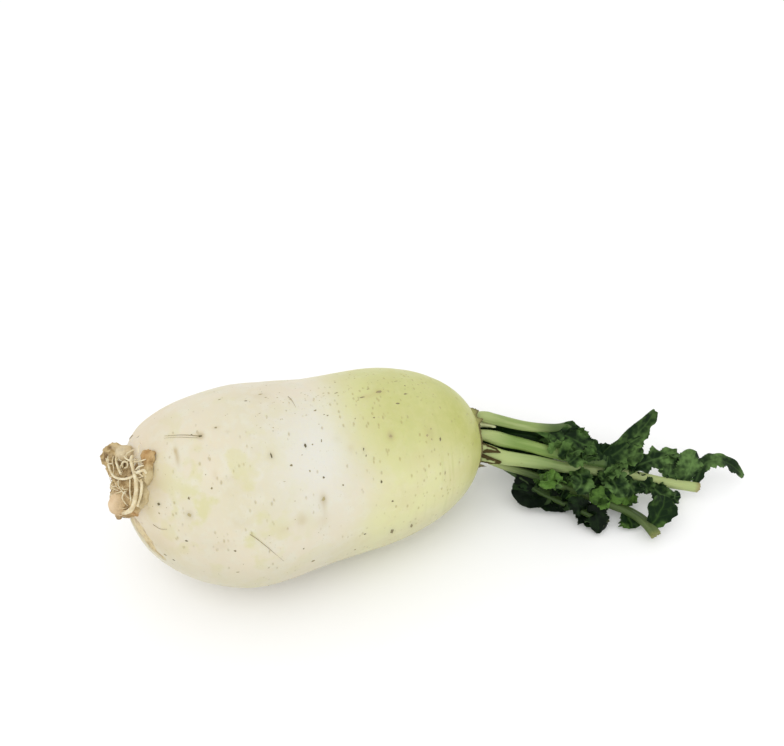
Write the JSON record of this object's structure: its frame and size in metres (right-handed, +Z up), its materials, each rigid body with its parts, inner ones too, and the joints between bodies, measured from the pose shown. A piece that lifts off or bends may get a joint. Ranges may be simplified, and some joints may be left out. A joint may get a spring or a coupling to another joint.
{
  "type": "white radish",
  "caption": "Stout white radish lying on its side: smooth pale root with a green shoulder, corky broken tail with curled rootlets, and short cut leaves with torn blades.",
  "frame": {"origin": "on the flat spot under the root on which it rests, near the middle of the root's length", "axes": "+X along the root from the tail to the crown, -Z out of the rest spot, so +Z is up as it lies"},
  "size_m": [0.3452, 0.113, 0.103],
  "materials": {
    "radish_skin": "smooth, faintly waxy",
    "tail_cork": "rough, dry",
    "dry_sheath": "papery",
    "torn_sheath": "fibrous",
    "young_leaf": "satin",
    "leaf_top_green": "satin",
    "leaf_upper_green": "satin",
    "leaf_long_green": "satin",
    "leaf_low_green": "satin",
    "leaf_bottom_green": "satin",
    "leaf_far_green": "satin"
  },
  "bodies": {
    "root": {"root": "radish_skin", "tail": "tail_cork", "crown_scar_ring": "dry_sheath", "torn_leaf_base": "torn_sheath", "heart_leaf": "young_leaf", "leaf_top": "leaf_top_green", "leaf_upper": "leaf_upper_green", "leaf_long": "leaf_long_green", "leaf_low": "leaf_low_green", "leaf_bottom": "leaf_bottom_green", "leaf_far": "leaf_far_green"}
  },
  "joints": []
}
